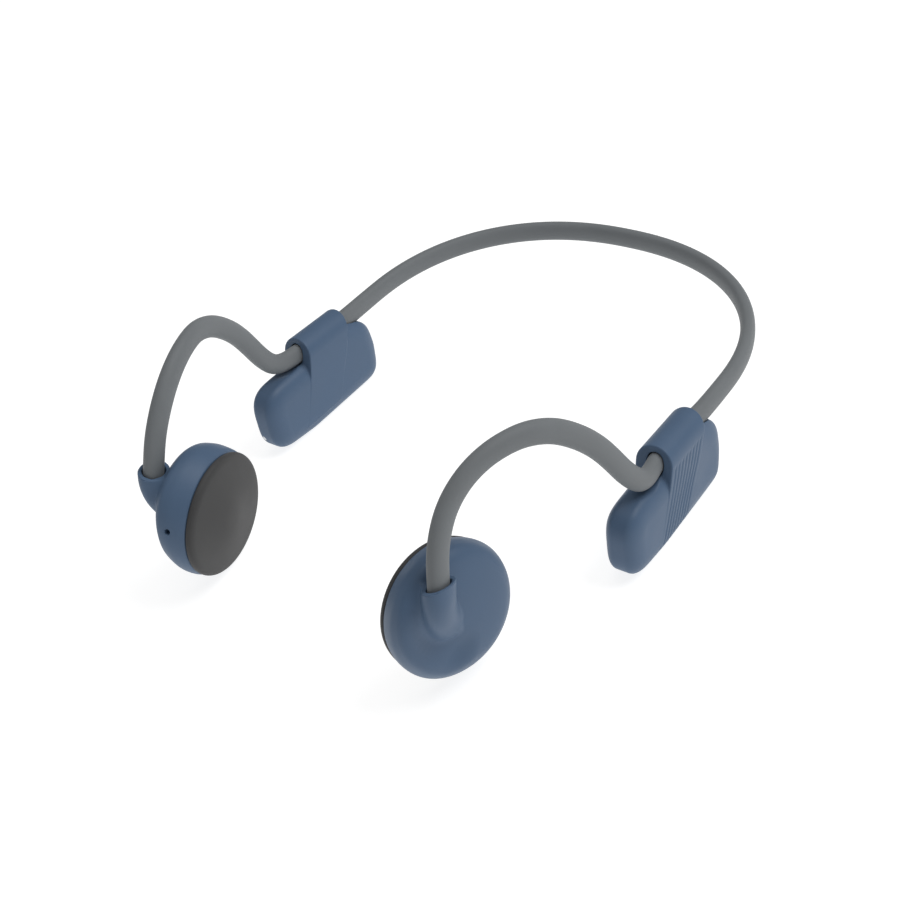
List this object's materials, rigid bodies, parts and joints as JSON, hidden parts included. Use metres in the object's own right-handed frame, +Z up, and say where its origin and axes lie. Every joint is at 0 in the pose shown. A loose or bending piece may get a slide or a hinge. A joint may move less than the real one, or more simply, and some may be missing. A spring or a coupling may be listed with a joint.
{
  "type": "bone conduction headphones",
  "caption": "Neckband bone conduction headphones: round vibrating earpieces on over-ear hooks, two flat pods and a springy band behind the head.",
  "frame": {"origin": "middle of the bounding box, on the surface it stands on", "axes": "+X to the wearer's left, -Y to the front where the earpieces are, +Z up"},
  "size_m": [0.1048, 0.1442, 0.0521],
  "materials": {
    "blue_shell": "fine satin moulded plastic",
    "grey_silicone": "matt silicone over-moulding",
    "pad_silicone": "matt soft silicone",
    "blue_rubber": "matt rubber",
    "spring_wire": "drawn titanium alloy",
    "cable_jacket": "black jacket",
    "battery_foil": "laminated foil",
    "circuit_board": "green solder mask",
    "shield_can": "stamped sheet",
    "copper_wire": "enamelled copper",
    "magnet_nickel": "nickel plate",
    "black_plastic": "moulded",
    "light_window": "milky light pipe"
  },
  "bodies": {
    "frame": {"neckband_cover": "grey_silicone", "neckband_wire": "spring_wire", "neckband_cable": "cable_jacket", "battery_cell": "battery_foil", "battery_board": "circuit_board", "main_board": "circuit_board", "radio_module": "shield_can", "charging_socket": "shield_can", "multi_switch": "black_plastic", "volume_down_switch": "black_plastic", "volume_up_switch": "black_plastic", "status_light": "light_window", "microphone": "shield_can", "ear_hook_cover_left": "grey_silicone", "ear_hook_wire_left": "spring_wire", "ear_hook_cable_left": "cable_jacket", "pod_outer_shell_left": "blue_shell", "pod_inner_shell_left": "blue_shell", "wire_clamp_left": "shield_can", "earpiece_housing_left": "blue_shell", "earpiece_pad_left": "pad_silicone", "vibration_plate_left": "spring_wire", "voice_coil_left": "copper_wire", "transducer_magnet_left": "magnet_nickel", "transducer_yoke_left": "magnet_nickel", "ear_hook_cover_right": "grey_silicone", "ear_hook_wire_right": "spring_wire", "ear_hook_cable_right": "cable_jacket", "pod_outer_shell_right": "blue_shell", "pod_inner_shell_right": "blue_shell", "wire_clamp_right": "shield_can", "earpiece_housing_right": "blue_shell", "earpiece_pad_right": "pad_silicone", "vibration_plate_right": "spring_wire", "voice_coil_right": "copper_wire", "transducer_magnet_right": "magnet_nickel", "transducer_yoke_right": "magnet_nickel"},
    "multi_button": {"multi_button": "blue_shell"},
    "volume_down_button": {"volume_down_button": "blue_shell"},
    "volume_up_button": {"volume_up_button": "blue_shell"},
    "port_cover": {"port_cover": "blue_rubber"}
  },
  "joints": [
    {"name": "multi_button_press", "type": "slide", "parent": "frame", "child": "multi_button", "axis": [1, 0, 0], "range_m": [0, 0.0003], "stiffness_N_per_m": 400},
    {"name": "volume_down_press", "type": "slide", "parent": "frame", "child": "volume_down_button", "axis": [0, 0, 1], "range_m": [0, 0.0003], "stiffness_N_per_m": 400},
    {"name": "volume_up_press", "type": "slide", "parent": "frame", "child": "volume_up_button", "axis": [0, 0, 1], "range_m": [0, 0.0003], "stiffness_N_per_m": 400},
    {"name": "port_cover_hinge", "type": "hinge", "parent": "frame", "child": "port_cover", "pos_m": [-0.0483, 0.0153, 0.0019], "axis": [-1, 0, 0], "range_deg": [0, 110]}
  ]
}
